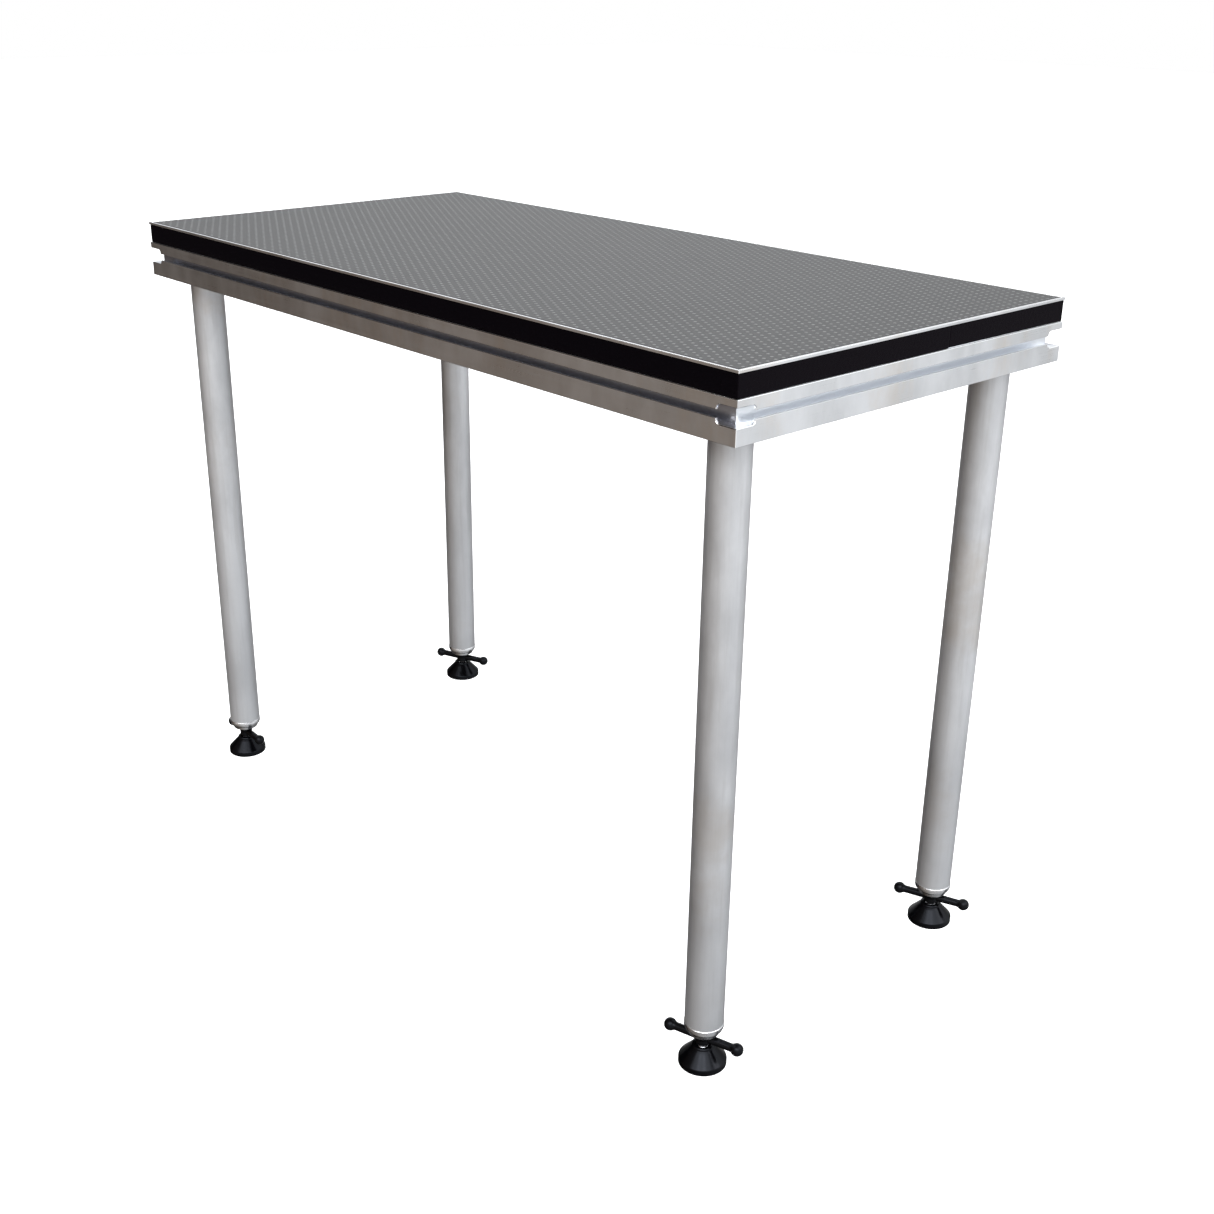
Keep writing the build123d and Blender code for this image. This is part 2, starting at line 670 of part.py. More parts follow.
def spindle():
    """Screw spindle: riveted journal for the swivel ball, shank for the handle, thread above."""
    head_radius, head_height = JOURNAL_HEAD
    under_ball = BALL_CENTRE - BALL_FLAT - RUNNING
    over_ball = BALL_CENTRE + BALL_FLAT + RUNNING
    bottom = under_ball - head_height
    thread_bottom = HUB_TOP + THREAD_START
    return spun(
        path(
            (0, bottom),
            (head_radius - SMALL_CHAMFER, bottom),
            (head_radius, bottom + SMALL_CHAMFER),
            (head_radius, under_ball),
            (JOURNAL_RADIUS, under_ball),
            (JOURNAL_RADIUS, over_ball),
            (SHANK_RADIUS, over_ball),
            (SHANK_RADIUS, thread_bottom - (THREAD_RADIUS - SHANK_RADIUS)),
            (THREAD_RADIUS, thread_bottom),
            (THREAD_RADIUS, SPINDLE_TOP - THREAD_CHAMFER),
            (THREAD_RADIUS - THREAD_CHAMFER, SPINDLE_TOP),
            (0, SPINDLE_TOP),
            (0, bottom),
        )
    )


def t_handle():
    """Moulded T-handle: a hub and two arms that end in balls, along X."""
    collar_radius, collar_height = HUB_COLLAR
    hub = spun(
        path(
            (0, HUB_BOTTOM),
            (HUB_RADIUS - SMALL_CHAMFER, HUB_BOTTOM),
            (HUB_RADIUS, HUB_BOTTOM + SMALL_CHAMFER),
            (HUB_RADIUS, ARM_HEIGHT),
            (collar_radius, HUB_TOP - collar_height),
            (collar_radius, HUB_TOP - SMALL_CHAMFER),
            (collar_radius - SMALL_CHAMFER, HUB_TOP),
            (0, HUB_TOP),
            (0, HUB_BOTTOM),
        )
    )
    neck_at = ARM_BALL_AT - (ARM_BALL_RADIUS**2 - NECK_RADIUS**2) ** 0.5
    bend_rise, bend_back = NECK_BEND
    neck = (NECK_RADIUS, neck_at)
    waist = (ARM_TIP_RADIUS, neck_at - NECK_LENGTH)
    tip = (0, ARM_BALL_AT + ARM_BALL_RADIUS)
    arm = spun(
        path((0, 0), (ARM_RADIUS, 0), waist),
        arc(waist, (ARM_TIP_RADIUS + bend_rise, neck_at - bend_back), neck),
        arc(neck, (ARM_BALL_RADIUS, ARM_BALL_AT), tip),
        path(tip, (0, 0)),
    )
    bar = Rot(0, 90, 0) * arm + Rot(0, -90, 0) * arm
    handle = hub + Pos(0, 0, ARM_HEIGHT) * bar
    return handle - rod(SHANK_RADIUS + GAP, HUB_BOTTOM - OVERSHOOT, HUB_TOP + OVERSHOOT)


def swivel_ball():
    ball = Pos(0, 0, BALL_CENTRE) * Sphere(BALL_RADIUS)
    ball &= rod(BALL_RADIUS + OVERSHOOT, BALL_CENTRE - BALL_FLAT, BALL_CENTRE + BALL_FLAT)
    return ball - rod(JOURNAL_RADIUS + RUNNING, 0, BASE_TOP)


def foot_base():
    """Bell-shaped foot with a snap socket for the swivel ball and a recess for the pad."""
    top = (BASE_TOP_RADIUS, BASE_TOP)
    rim_top = (BASE_RADIUS, BASE_RIM_TOP)
    base = spun(
        path(
            (0, BASE_BOTTOM),
            (BASE_RADIUS - BASE_CHAMFER, BASE_BOTTOM),
            (BASE_RADIUS, BASE_BOTTOM + BASE_CHAMFER),
            rim_top,
        ),
        arc(rim_top, BASE_RIM_BEND, BASE_SHOULDER),
        path(BASE_SHOULDER, BASE_CONE_TOP, BASE_COLLAR),
        arc(BASE_COLLAR, BASE_COLLAR_BEND, top),
        path(top, (0, BASE_TOP), (0, BASE_BOTTOM)),
    )
    mouth = BALL_CENTRE + BALL_SNAP
    seat = BALL_RADIUS + RUNNING
    opening = (seat**2 - BALL_SNAP**2) ** 0.5
    rivet_room, above_pad = RIVET_ROOM
    base -= Pos(0, 0, BALL_CENTRE) * Sphere(seat) & rod(seat + OVERSHOOT, 0, mouth)
    base -= Pos(0, 0, (mouth + BASE_TOP) / 2) * Cone(opening, BASE_MOUTH, BASE_TOP - mouth)
    base -= rod(JOURNAL_HEAD[0] + rivet_room, PAD_HEIGHT + above_pad, BALL_CENTRE)
    return base - rod(PAD_RADIUS + RUNNING, 0, PAD_HEIGHT)


def foot_pad():
    pad = rod(PAD_RADIUS, 0, PAD_HEIGHT - GAP)
    return chamfer(pad.edges().group_by(Axis.Z)[0], PAD_CHAMFER)


# ---------------------------------------------------------------- assembly
def write_frame():
    long_rail = rail(DECK_LENGTH)
    short_rail = rail(DECK_WIDTH)
    half_length, half_width = DECK_LENGTH / 2, DECK_WIDTH / 2
    rails = {
        "rail_front": Pos(0, -half_width, 0) * long_rail,
        "rail_back": Pos(0, half_width, 0) * Rot(0, 0, 180) * long_rail,
        "rail_left": Pos(-half_length, 0, 0) * Rot(0, 0, -90) * short_rail,
        "rail_right": Pos(half_length, 0, 0) * Rot(0, 0, 90) * short_rail,
    }
    corner_holes = cleat_holes() + socket_bolt_holes()
    holes = [to_corner(h, sx, sy) for sx, sy, _ in CORNERS.values() for h in corner_holes]
    holes += both_ends(brace_bolt_holes(-BRACE_X) + brace_bolt_holes(BRACE_X))
    for node, shape in rails.items():
        save(round_corners(shape) - holes, node)

    save(deck_board(), "deck_board")
    save(board_screws(), "board_screws")
    save(ring(RECESS_DEPTH + RECESS_WALL + GAP, BOARD_INSET - GAP, SEAL_DROP, SEAL_HEIGHT), "board_seal")
    save(loop_tape(), "loop_tape")

    repeated = {
        "corner_cleats": [corner_cleat() - cleat_holes()],
        "cleat_screws": cleat_screws(),
        "socket_bolts": socket_bolts(),
    }
    for node, shapes in repeated.items():
        at_corners = [to_corner(s, sx, sy) for sx, sy, _ in CORNERS.values() for s in shapes]
        save(Compound(children=at_corners), node)


def write_braces():
    brackets = []
    bolts = []
    low, high = BRACE_UNDERSIDE - OVERSHOOT, BRACE_UNDERSIDE + BRACE_WALL + OVERSHOOT
    for side, x in (("left", -BRACE_X), ("right", BRACE_X)):
        screws = brace_screw_places(x)
        brace = brace_shell(x) - both_ends(brace_bolt_holes(x)) - board_screw_holes(screws)
        brace -= [rod(DRIVER_HOLE_RADIUS, low, high, px, py) for px, py, _ in screws]
        save(brace, f"cross_brace_{side}")
        brackets += both_ends([brace_bracket(x) - brace_bolt_holes(x)])
        bolts += both_ends(brace_bolts(x))
    save(Compound(children=brackets), "brace_brackets")
    save(Compound(children=bolts), "brace_bolts")


def write_corners():
    socket, pad, screw = leg_socket(), clamp_pad(), clamp_screw()
    upright = {
        "leg_tube": leg_tube(),
        "end_cap": end_cap(),
        "spindle_nut": spindle_nut(),
        "spindle": spindle(),
        "swivel_ball": swivel_ball(),
        "foot_base": foot_base(),
        "foot_pad": foot_pad(),
    }
    handle = t_handle()
    for corner, (sx, sy, angle) in CORNERS.items():
        x, y = leg_axis(sx, sy)
        for name, shape in upright.items():
            save(Pos(x, y, 0) * shape, f"{name}_{corner}")
        save(Pos(x, y, 0) * Rot(0, 0, angle) * handle, f"t_handle_{corner}")
        save(to_corner(socket, sx, sy), f"leg_socket_{corner}")
        save(to_corner(pad, sx, sy), f"clamp_pad_{corner}")
        save(to_corner(screw, sx, sy), f"clamp_screw_{corner}")


os.makedirs("parts", exist_ok=True)
write_frame()
write_braces()
write_corners()
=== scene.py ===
"""Looks of the stage riser platform: materials, grip dots, pile tape, spindle threads, light and camera.

Metres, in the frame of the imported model: +Z up, origin on the floor under the deck's centre.
"""

import math
import random

import bpy
from mathutils import Matrix, Vector, noise


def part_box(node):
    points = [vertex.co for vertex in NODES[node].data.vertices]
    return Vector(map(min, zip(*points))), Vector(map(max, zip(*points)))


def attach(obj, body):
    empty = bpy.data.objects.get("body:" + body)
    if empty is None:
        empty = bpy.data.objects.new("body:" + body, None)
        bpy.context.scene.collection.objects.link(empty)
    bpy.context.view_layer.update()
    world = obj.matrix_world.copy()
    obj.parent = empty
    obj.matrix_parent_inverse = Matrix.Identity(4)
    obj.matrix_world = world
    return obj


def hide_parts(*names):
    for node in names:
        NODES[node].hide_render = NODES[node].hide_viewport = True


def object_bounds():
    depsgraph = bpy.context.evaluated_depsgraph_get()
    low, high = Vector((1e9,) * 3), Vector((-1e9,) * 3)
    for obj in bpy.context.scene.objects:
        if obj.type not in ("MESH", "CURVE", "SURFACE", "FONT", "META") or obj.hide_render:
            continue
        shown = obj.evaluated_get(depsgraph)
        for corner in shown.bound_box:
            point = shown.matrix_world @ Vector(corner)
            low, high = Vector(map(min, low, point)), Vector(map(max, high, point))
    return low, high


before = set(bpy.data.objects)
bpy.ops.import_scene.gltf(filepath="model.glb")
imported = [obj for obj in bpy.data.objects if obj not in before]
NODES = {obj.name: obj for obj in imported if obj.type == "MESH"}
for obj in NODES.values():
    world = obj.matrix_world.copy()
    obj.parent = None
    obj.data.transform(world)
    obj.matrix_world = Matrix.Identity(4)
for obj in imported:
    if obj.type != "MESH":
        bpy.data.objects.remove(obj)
CAD_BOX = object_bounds()
CORNERS = ("front_left", "front_right", "back_left", "back_right")
MM = 0.001
SLOT_STARTS = 2.6 * MM  # depths from a rail's outer face over which its look turns into the slot's
SLOT_INSIDE = 3.0 * MM


# ---------------------------------------------------------------- material helpers
class Paint:
    """A node material being built around one Principled shader."""

    def __init__(self, name, color, roughness, metallic=0.0, **more):
        self.material = bpy.data.materials.new(name)
        self.material.use_nodes = True
        self.tree = self.material.node_tree
        self.shader = self.tree.nodes["Principled BSDF"]
        self.set("Base Color", (*color, 1.0))
        self.set("Roughness", roughness)
        self.set("Metallic", metallic)
        for key, value in more.items():
            self.set(key.replace("_", " "), value)

    def set(self, socket, value):
        """Give a Principled input a fixed value or a link."""
        self.feed(self.shader.inputs[socket], value)

    def feed(self, target, value):
        if isinstance(value, bpy.types.NodeSocket):
            self.tree.links.new(value, target)
        else:
            target.default_value = value

    def node(self, kind, inputs=None, **settings):
        made = self.tree.nodes.new(kind)
        for key, value in settings.items():
            setattr(made, key, value)
        for key, value in (inputs or {}).items():
            self.feed(made.inputs[key], value)
        return made

    def place(self, scale=(1, 1, 1), offset=(0, 0, 0)):
        """The point in the model's frame, stretched by scale."""
        where = self.node("ShaderNodeTexCoord").outputs["Object"]
        moved = self.node("ShaderNodeMapping", {"Vector": where, "Scale": scale, "Location": offset})
        return moved.outputs["Vector"]

    def noise(self, scale, stretch=(1, 1, 1), detail=3.0, rough=0.5, vector=None):
        where = vector or self.place(stretch)
        made = self.node(
            "ShaderNodeTexNoise", {"Vector": where, "Scale": scale, "Detail": detail, "Roughness": rough}
        )
        return made.outputs["Fac"]

    def math(self, operation, a, b=0.0):
        made = self.node("ShaderNodeMath", {0: a, 1: b}, operation=operation)
        return made.outputs[0]

    def span(self, value, low, high, to_low=0.0, to_high=1.0):
        """Map value smoothly from low..high to to_low..to_high, held at both ends."""
        made = self.node(
            "ShaderNodeMapRange",
            {"Value": value, "From Min": low, "From Max": high, "To Min": to_low, "To Max": to_high},
            interpolation_type="SMOOTHSTEP",
        )
        return made.outputs["Result"]

    def blend(self, factor, a, b):
        """Mix two colours."""
        made = self.node("ShaderNodeMix", {0: factor}, data_type="RGBA")
        for index, value in ((6, a), (7, b)):
            if isinstance(value, tuple):
                value = (*value, 1.0)
            self.feed(made.inputs[index], value)
        return made.outputs[2]

    def between(self, factor, a, b):
        """Mix two values."""
        made = self.node("ShaderNodeMix", {0: factor, 2: a, 3: b}, data_type="FLOAT")
        return made.outputs[0]

    def rounded_edges(self):
        """1 on edge roundings and chamfers, 0 on faces square to the axes."""
        normal = self.node("ShaderNodeNewGeometry").outputs["True Normal"]
        sizes = self.node("ShaderNodeVectorMath", {0: normal}, operation="ABSOLUTE").outputs[0]
        x, y, z = self.node("ShaderNodeSeparateXYZ", {0: sizes}).outputs
        total = self.math("ADD", self.math("ADD", x, y), z)
        return self.span(total, 1.15, 1.3)

    def behind_face(self, axis):
        """1 inside a rail's slot, 0 on the frame's outer face across an axis."""
        place = self.node("ShaderNodeSeparateXYZ", {0: self.place()}).outputs[axis.upper()]
        face = CAD_BOX[1]["xy".index(axis)]
        return self.span(self.math("ABSOLUTE", place), face - SLOT_STARTS, face - SLOT_INSIDE)

    def bump(self, height, distance, strength=1.0, normal=None):
        made = self.node("ShaderNodeBump", {"Height": height, "Distance": distance, "Strength": strength})
        if normal:
            self.feed(made.inputs["Normal"], normal)
        return made.outputs["Normal"]


def dress(material, *nodes):
    """Give CAD nodes a material."""
    for name in nodes:
        slots = NODES[name].data.materials
        slots.clear()
        slots.append(material)


def per_corner(name):
    return [f"{name}_{corner}" for corner in CORNERS]


# ---------------------------------------------------------------- metals
def extruded_aluminium(name, along, painted_slot_lighting):
    """Satin extrusion with die lines along one axis and faint stains; its slot is duller satin, and there
    its colour is swapped for a given one that paints the slot's light and shade.
    """
    paint = Paint(name, (0.80, 0.80, 0.81), 0.34, 1.0)
    across = "y" if along == "x" else "x"
    stretch = tuple(2.0 if axis == along else 1.0 for axis in "xyz")
    lines = tuple(4.0 if axis == along else 1500.0 for axis in "xyz")
    die = paint.noise(1.0, lines, 2.0)
    stain = paint.noise(7.0, stretch, 4.0, 0.6)
    rubbed_and_highlit_edges = paint.rounded_edges()
    inside = paint.behind_face(across)
    smears = paint.noise(4.0, stretch, 5.0, 0.65, paint.place(stretch, (2.0, 5.0, 1.0)))
    color = paint.blend(paint.span(stain, 0.3, 0.7), (0.73, 0.73, 0.735), (0.86, 0.86, 0.87))
    smeared = paint.math("MULTIPLY", paint.span(smears, 0.5, 0.72), 0.5)
    color = paint.blend(smeared, color, (0.74, 0.66, 0.58))
    satin = paint.span(paint.math("ADD", die, paint.math("MULTIPLY", stain, 0.6)), 0.5, 1.1, 0.27, 0.40)
    satin = paint.between(inside, satin, 0.35)
    # painted light and shade in the slot: the given colour replaces the metal's there, darker for painted
    # shade in the long rails, lighter for painted light in the short rails
    color = paint.blend(inside, color, painted_slot_lighting)
    # edge roundings are polished by rubbing (lower roughness) and coloured near white as a painted
    # highlight
    paint.set("Base Color", paint.blend(rubbed_and_highlit_edges, color, (0.96, 0.96, 0.96)))
    paint.set("Roughness", paint.between(rubbed_and_highlit_edges, satin, 0.16))
    paint.set("Normal", paint.bump(die, 0.02 * MM, paint.between(inside, 0.5, 0.0)))
    return paint.material


def drawn_tube():
    """Leg tube: drawing lines along Z, patchy oxide, brownish smears, and painted shade that darkens its
    colour towards the floor.
    """
    paint = Paint("drawn_tube", (0.7, 0.7, 0.7), 0.46, 0.68)
    lines = paint.noise(1.0, (900.0, 900.0, 3.0), 2.0)
    patches = paint.noise(9.0, (1.0, 1.0, 0.5), 5.0, 0.62)
    streaks = paint.noise(1.0, (110.0, 110.0, 7.0), 4.0, 0.6)
    smears = paint.noise(5.0, (1.6, 1.6, 0.7), 5.0, 0.65, paint.place(offset=(3.0, 1.0, 7.0)))
    color = paint.blend(paint.span(patches, 0.32, 0.68), (0.54, 0.54, 0.55), (0.69, 0.69, 0.70))
    streaked = paint.math("MULTIPLY", paint.span(streaks, 0.45, 0.75), 0.35)
    color = paint.blend(streaked, color, (0.46, 0.45, 0.44))
    smeared = paint.math("MULTIPLY", paint.span(smears, 0.52, 0.72), 0.55)
    color = paint.blend(smeared, color, (0.50, 0.45, 0.40))
    # painted shade: the colour darkens towards the floor
    height = paint.node("ShaderNodeSeparateXYZ", {0: paint.place()}).outputs["Z"]
    color = paint.blend(paint.span(height, 0.75, 0.1, 0.05, 0.55), color, (0.40, 0.405, 0.42))
    paint.set("Base Color", color)
    paint.set("Roughness", paint.span(paint.math("ADD", lines, patches), 0.6, 1.3, 0.38, 0.54))
    paint.set("Normal", paint.bump(lines, 0.02 * MM, 0.5))
    return paint.material


def turned_metal(name, color, roughness, pitch):
    """Lathe-turned metal: fine rings at the tool's pitch along Z."""
    paint = Paint(name, color, roughness, 1.0)
    where = paint.node("ShaderNodeSeparateXYZ", {0: paint.place()}).outputs["Z"]
    rings = paint.math("SINE", paint.math("MULTIPLY", where, 2 * math.pi / pitch))
    worn = paint.noise(60.0, detail=4.0)
    paint.set("Roughness", paint.span(worn, 0.3, 0.7, roughness * 0.75, roughness * 1.3))
    paint.set("Normal", paint.bump(rings, 0.006 * MM, 0.6))
    return paint.material


def plated_steel(name, color=(0.58, 0.58, 0.6), roughness=0.32):
    """Zinc-plated steel with a mottled sheen."""
    paint = Paint(name, color, roughness, 1.0)
    mottle = paint.noise(350.0, detail=3.0)
    lighter = tuple(min(1.0, c * 1.25) for c in color)
    paint.set("Base Color", paint.blend(mottle, tuple(c * 0.85 for c in color), lighter))
    paint.set("Roughness", paint.span(mottle, 0.3, 0.7, roughness * 0.8, roughness * 1.35))
    paint.set("Normal", paint.bump(mottle, 0.02 * MM, 0.4))
    return paint.material


def cast_aluminium():
    """Sand-cast surface: grainy and dull, brighter on its high spots."""
    paint = Paint("cast_aluminium", (0.55, 0.55, 0.56), 0.5, 1.0)
    grain = paint.noise(900.0, detail=4.0, rough=0.65)
    lumps = paint.noise(60.0, detail=3.0)
    paint.set("Base Color", paint.blend(grain, (0.42, 0.42, 0.43), (0.68, 0.68, 0.69)))
    paint.set("Roughness", paint.span(lumps, 0.3, 0.7, 0.42, 0.62))
    coarse = paint.bump(lumps, 0.4 * MM, 0.5)
    paint.set("Normal", paint.bump(grain, 0.12 * MM, 0.7, coarse))
    return paint.material


def polished_steel():
    paint = Paint("polished_steel", (0.75, 0.75, 0.76), 0.08, 1.0)
    haze = paint.noise(120.0, detail=4.0)
    paint.set("Roughness", paint.span(haze, 0.35, 0.7, 0.05, 0.14))
    return paint.material


# ---------------------------------------------------------------- plastics, rubber and fabric
def moulded_plastic(name, color, roughness, grain, gloss):
    """Moulded black plastic with a fine spark-eroded grain and slight scuffing."""
    # painted reflection colour: the specular tint turns the plastic's reflections cool blue
    paint = Paint(name, color, roughness, Specular_IOR_Level=gloss, Specular_Tint=(0.84, 0.88, 1.0, 1.0))
    texture = paint.noise(grain, detail=2.0)
    scuff = paint.noise(90.0, detail=5.0, rough=0.65)
    dusty = tuple(c * 1.8 + 0.001 for c in color)
    paint.set("Base Color", paint.blend(paint.span(scuff, 0.5, 0.75), color, dusty))
    paint.set("Roughness", paint.span(scuff, 0.35, 0.7, roughness * 0.85, roughness * 1.25))
    paint.set("Normal", paint.bump(texture, 0.03 * MM, 0.5))
    return paint.material


def rubber(name):
    paint = Paint(name, (0.018, 0.018, 0.019), 0.75)
    grain = paint.noise(700.0, detail=3.0)
    bloom = paint.noise(40.0, detail=3.0)
    paint.set("Base Color", paint.blend(bloom, (0.012, 0.012, 0.013), (0.03, 0.03, 0.031)))
    paint.set("Normal", paint.bump(grain, 0.08 * MM, 0.6))
    return paint.material


def loop_pile():
    """Black loop fabric: matted loops with a faint sheen at a glancing angle."""
    paint = Paint("loop_pile", (0.001, 0.001, 0.0012), 0.62)
    loops = paint.noise(1400.0, detail=2.0, rough=0.7)
    tufts = paint.noise(300.0, detail=3.0)
    paint.set("Base Color", paint.blend(tufts, (0.0006, 0.0004, 0.0008), (0.0016, 0.0011, 0.002)))
    paint.set("Specular IOR Level", 0.07)
    paint.set("Specular Tint", (1.0, 0.78, 1.0, 1.0))
    paint.set("Normal", paint.bump(loops, 0.5 * MM, 0.8))
    return paint.material


# ---------------------------------------------------------------- deck board
FILM_DARK = (0.029, 0.0292, 0.0294)
FILM_LIGHT = (0.054, 0.0542, 0.0545)
PLY = 2.8 * MM  # two veneers


def board_faces():
    """Phenolic film on top, dark sealed plies on the edges and a brown film underneath."""
    paint = Paint("board_faces", (0.2, 0.2, 0.2), 0.5)
    place = paint.node("ShaderNodeSeparateXYZ", {0: paint.place()})
    facing = paint.node("ShaderNodeNewGeometry").outputs["True Normal"]
    normal = paint.node("ShaderNodeSeparateXYZ", {0: facing})
    up = paint.math("GREATER_THAN", normal.outputs["Z"], 0.5)
    down = paint.math("LESS_THAN", normal.outputs["Z"], -0.5)

    speck = paint.noise(1300.0, detail=2.0, rough=0.6)
    mottle = paint.noise(280.0, detail=3.0, rough=0.6)
    cloud = paint.noise(5.0, detail=5.0, rough=0.6)
    film = paint.blend(paint.span(mottle, 0.3, 0.7), FILM_DARK, FILM_LIGHT)
    film = paint.blend(paint.math("MULTIPLY", cloud, 0.25), film, (0.085, 0.085, 0.084))
    film = paint.blend(paint.span(speck, 0.35, 0.7), film, paint.blend(0.5, film, (0.12, 0.12, 0.121)))

    plies = paint.math("SINE", paint.math("MULTIPLY", place.outputs["Z"], 2 * math.pi / PLY))
    grain = paint.noise(40.0, (6.0, 6.0, 60.0), 4.0)
    edge = paint.blend(paint.span(plies, -0.3, 0.3), (0.018, 0.014, 0.011), (0.03, 0.024, 0.019))
    edge = paint.blend(paint.math("MULTIPLY", grain, 0.5), edge, (0.012, 0.010, 0.009))

    fibre = paint.noise(1.0, (3.0, 110.0, 1.0), 5.0, 0.6)
    figure = paint.noise(3.0, (1.0, 9.0, 1.0), 4.0, 0.6)
    below = paint.blend(fibre, (0.115, 0.052, 0.026), (0.20, 0.10, 0.05))
    below = paint.blend(paint.math("MULTIPLY", figure, 0.6), below, (0.085, 0.038, 0.02))

    paint.set("Base Color", paint.blend(down, paint.blend(up, edge, film), below))
    paint.set("Roughness", paint.math("ADD", paint.math("MULTIPLY", speck, 0.25), 0.38))
    paint.set("Specular IOR Level", 0.15)
    paint.set("Normal", paint.bump(speck, 0.06 * MM, 0.5))
    return paint.material


DOT_PITCH = 14.85 * MM
DOT_RADIUS = 2.6 * MM
DOT_HEIGHT = 0.45 * MM
DOT_SIDES = 10
DOT_MARGIN = 4.0 * MM
DOT_RINGS = ((1.0, -0.02), (0.8, 0.55), (0.45, 0.9))  # shares of the dot's radius and height


def dot_paint():
    """The film over a raised dot, coloured much lighter than the flat film as a painted highlight, with a
    noise mottle.
    """
    paint = Paint("dot_film", (0.20, 0.20, 0.202), 0.38, Specular_IOR_Level=0.4)
    speck = paint.noise(1300.0, detail=2.0)
    worn = paint.noise(25.0, detail=4.0)
    # painted highlight: these colours make every dot several times lighter than the film around it
    paint.set("Base Color", paint.blend(worn, (0.11, 0.11, 0.111), (0.185, 0.185, 0.187)))
    paint.set("Normal", paint.bump(speck, 0.05 * MM, 0.4))
    return paint.material


def new_piece(name, verts, faces, material, body, smooth=True):
    mesh = bpy.data.meshes.new(name)
    mesh.from_pydata(verts, [], faces)
    mesh.update()
    mesh.polygons.foreach_set("use_smooth", [smooth] * len(mesh.polygons))
    mesh.materials.append(material)
    piece = bpy.data.objects.new(name, mesh)
    bpy.context.scene.collection.objects.link(piece)
    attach(piece, body)
    return piece


def grip_dots():
    """Low domes in a hexagonal pattern all over the board."""
    low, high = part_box("deck_board")
    top = high.z
    row_step = DOT_PITCH * math.sqrt(3) / 2
    verts, faces = [], []
    columns = int((high.x - low.x - 2 * DOT_MARGIN) / row_step)
    rows = int((high.y - low.y - 2 * DOT_MARGIN) / DOT_PITCH)
    for column in range(columns + 1):
        x = (column - columns / 2) * row_step
        shift = 0.5 * (column % 2)
        for row in range(rows + 1 - column % 2):
            y = (row - rows / 2 + shift) * DOT_PITCH
            start = len(verts)
            for radius, rise in DOT_RINGS:
                for side in range(DOT_SIDES):
                    turn = 2 * math.pi * side / DOT_SIDES
                    along_x = DOT_RADIUS * radius * math.cos(turn)
                    along_y = DOT_RADIUS * radius * math.sin(turn)
                    verts.append((x + along_x, y + along_y, top + DOT_HEIGHT * rise))
            verts.append((x, y, top + DOT_HEIGHT))
            crown = len(verts) - 1
            faces.append(tuple(reversed(range(start, start + DOT_SIDES))))
            for ring in range(len(DOT_RINGS) - 1):
                for side in range(DOT_SIDES):
                    a = start + ring * DOT_SIDES + side
                    b = start + ring * DOT_SIDES + (side + 1) % DOT_SIDES
                    faces.append((a, b, b + DOT_SIDES, a + DOT_SIDES))
            last = start + (len(DOT_RINGS) - 1) * DOT_SIDES
            for side in range(DOT_SIDES):
                faces.append((last + side, last + (side + 1) % DOT_SIDES, crown))
    piece = new_piece("grip_dots", verts, faces, dot_paint(), "deck")


# ---------------------------------------------------------------- pile tape
TAPE_THICKNESS = 1.5 * MM
TAPE_JOINT_Y = 72.0 * MM
TAPE_JOINT_GAP = 0.6 * MM
TAPE_GRID = 2.0 * MM
TAPE_ROWS = 20
TAPE_TRIM = 0.9 * MM  # how much narrower the tape was cut at its starting end
TAPE_TRIM_FADE = 0.35  # distance over which it widens again
TAPE_BOTTOM_TRIM = 0.15 * MM
TAPE_TOP_TRIM = 0.2 * MM
TAPE_WANDER = 0.25 * MM  # of its cut edges
TAPE_LUMPS = 0.18 * MM
TAPE_TUFTS = 0.12 * MM
CORNER_STEPS = 5


def tape_stations(half_x, half_y):
    """Places along the tape's back from one end round to the other: x, y, facing angle, distance."""
    corners = [(half_x, half_y), (-half_x, half_y), (-half_x, -half_y), (half_x, -half_y)]
    start = (half_x, TAPE_JOINT_Y + TAPE_JOINT_GAP / 2)
    end = (half_x, TAPE_JOINT_Y - TAPE_JOINT_GAP / 2)
    stops = [Vector(stop) for stop in (start, *corners, end)]
    stations = []
    travelled = 0.0
    for side, (a, b) in enumerate(zip(stops, stops[1:])):
        length = (b - a).length
        steps = max(1, round(length / TAPE_GRID))
        for step in range(steps + 1):
            place = a.lerp(b, step / steps)
            stations.append((place.x, place.y, side * math.pi / 2, travelled + length * step / steps))
        travelled += length
        if side < len(corners):
            for turn in range(1, CORNER_STEPS):
                facing = (side + turn / CORNER_STEPS) * math.pi / 2
                stations.append((b.x, b.y, facing, travelled))
    return stations


